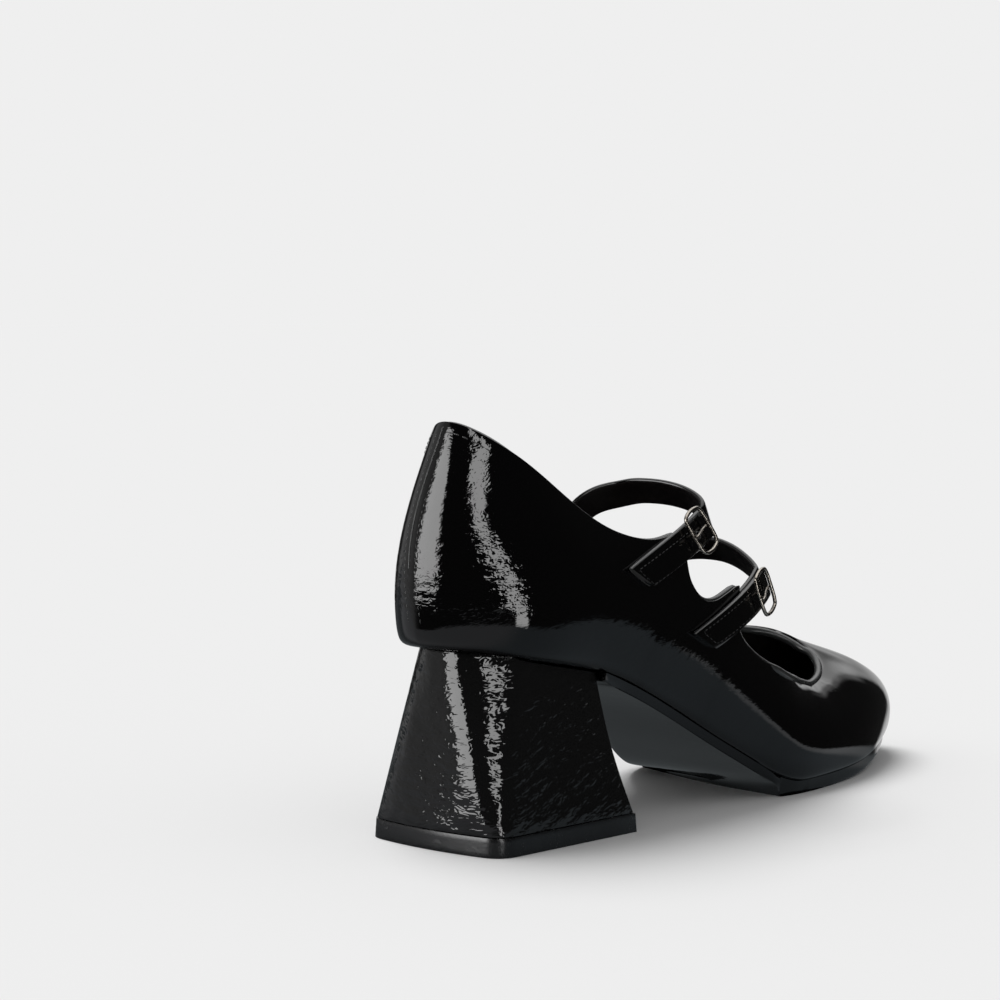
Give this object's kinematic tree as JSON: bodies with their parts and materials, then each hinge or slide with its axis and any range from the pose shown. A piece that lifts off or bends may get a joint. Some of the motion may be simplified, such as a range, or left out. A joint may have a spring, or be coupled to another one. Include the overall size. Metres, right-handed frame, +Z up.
{
  "type": "mary jane pump",
  "caption": "Black crinkled patent Mary Jane pump with narrow buckled straps over the instep, a round toe and a flared block heel; the right shoe of a pair.",
  "frame": {"origin": "centre of the shoe's bounding box, on the floor plane that the top lift and the ball of the outsole stand on", "axes": "+Z up from the floor, -Y towards the toe, +Y towards the heel, -X towards the outer side of the foot, where the buckles are"},
  "size_m": [0.0794, 0.245, 0.1242],
  "materials": {
    "patent": "gloss, fine crinkle",
    "strap_patent": "gloss, stitched edges",
    "heel_patent": "gloss, coarse crinkle",
    "lining": "smooth, satin",
    "sole": "smooth, semi-gloss",
    "lift": "matt",
    "buckle_metal": "polished, slightly warm"
  },
  "bodies": {
    "root": {"upper": "patent", "insole": "lining", "outsole": "sole", "heel_block": "heel_patent", "top_lift": "lift", "tab_rear": "strap_patent", "tab_front": "strap_patent", "strap_rear": "strap_patent", "strap_front": "strap_patent", "buckle_rear": "buckle_metal", "buckle_front": "buckle_metal", "prong_rear": "buckle_metal", "prong_front": "buckle_metal"}
  },
  "joints": []
}
